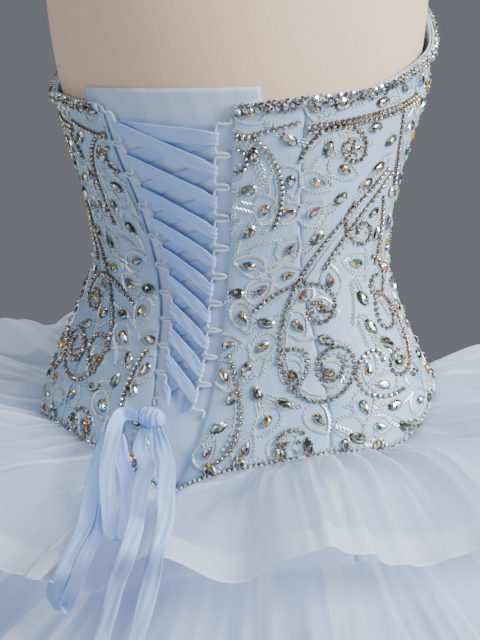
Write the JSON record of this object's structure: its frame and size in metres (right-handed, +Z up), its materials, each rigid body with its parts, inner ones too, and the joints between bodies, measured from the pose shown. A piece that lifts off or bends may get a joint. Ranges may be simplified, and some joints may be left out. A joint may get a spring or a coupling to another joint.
{
  "type": "quinceanera dress on a dress form",
  "caption": "Strapless corset-back ball gown with beaded bodice, ribbon lacing and tiered organza ruffles, standing on a limbless dress form.",
  "frame": {"origin": "on the floor, at the middle of the underside of the stand's round base", "axes": "+Z up; the gown's front faces -Y and its laced back faces +Y; the wearer's right is -X"},
  "size_m": [1.4764, 1.4579, 1.5723],
  "materials": {
    "bodice_satin": "pale blue satin under sheer overlay",
    "ribbon_satin": "light blue satin, soft sheen",
    "rhinestones": "clear faceted stones in silver cups",
    "organza": "crisp sheer pale blue organza",
    "underskirt_satin": "pale blue lining satin",
    "form_jersey": "matt beige jersey",
    "stand_metal": "satin grey enamel"
  },
  "bodies": {
    "root": {"bodice_back_left": "bodice_satin", "bodice_back_right": "bodice_satin", "bodice_side_back_left": "bodice_satin", "bodice_side_back_right": "bodice_satin", "bodice_side_front_left": "bodice_satin", "bodice_side_front_right": "bodice_satin", "bodice_front_centre": "bodice_satin", "modesty_panel": "ribbon_satin", "loop_cord_left": "ribbon_satin", "loop_cord_right": "ribbon_satin", "lacing_ribbon": "ribbon_satin", "bow_knot": "ribbon_satin", "bow_loop_short": "ribbon_satin", "bow_loop_long": "ribbon_satin", "ribbon_tail_left": "ribbon_satin", "ribbon_tail_right": "ribbon_satin", "top_edge_trim": "rhinestones", "ruffle_1_back": "organza", "ruffle_1_right": "organza", "ruffle_1_front": "organza", "ruffle_1_left": "organza", "ruffle_2_back": "organza", "ruffle_2_right": "organza", "ruffle_2_front": "organza", "ruffle_2_left": "organza", "ruffle_3_back": "organza", "ruffle_3_right": "organza", "ruffle_3_front": "organza", "ruffle_3_left": "organza", "ruffle_4_back": "organza", "ruffle_4_right": "organza", "ruffle_4_front": "organza", "ruffle_4_left": "organza", "underskirt_back": "underskirt_satin", "underskirt_right": "underskirt_satin", "underskirt_front": "underskirt_satin", "underskirt_left": "underskirt_satin", "form_torso": "form_jersey", "form_neck_cap": "stand_metal", "stand_pole": "stand_metal", "stand_base": "stand_metal"}
  },
  "joints": []
}
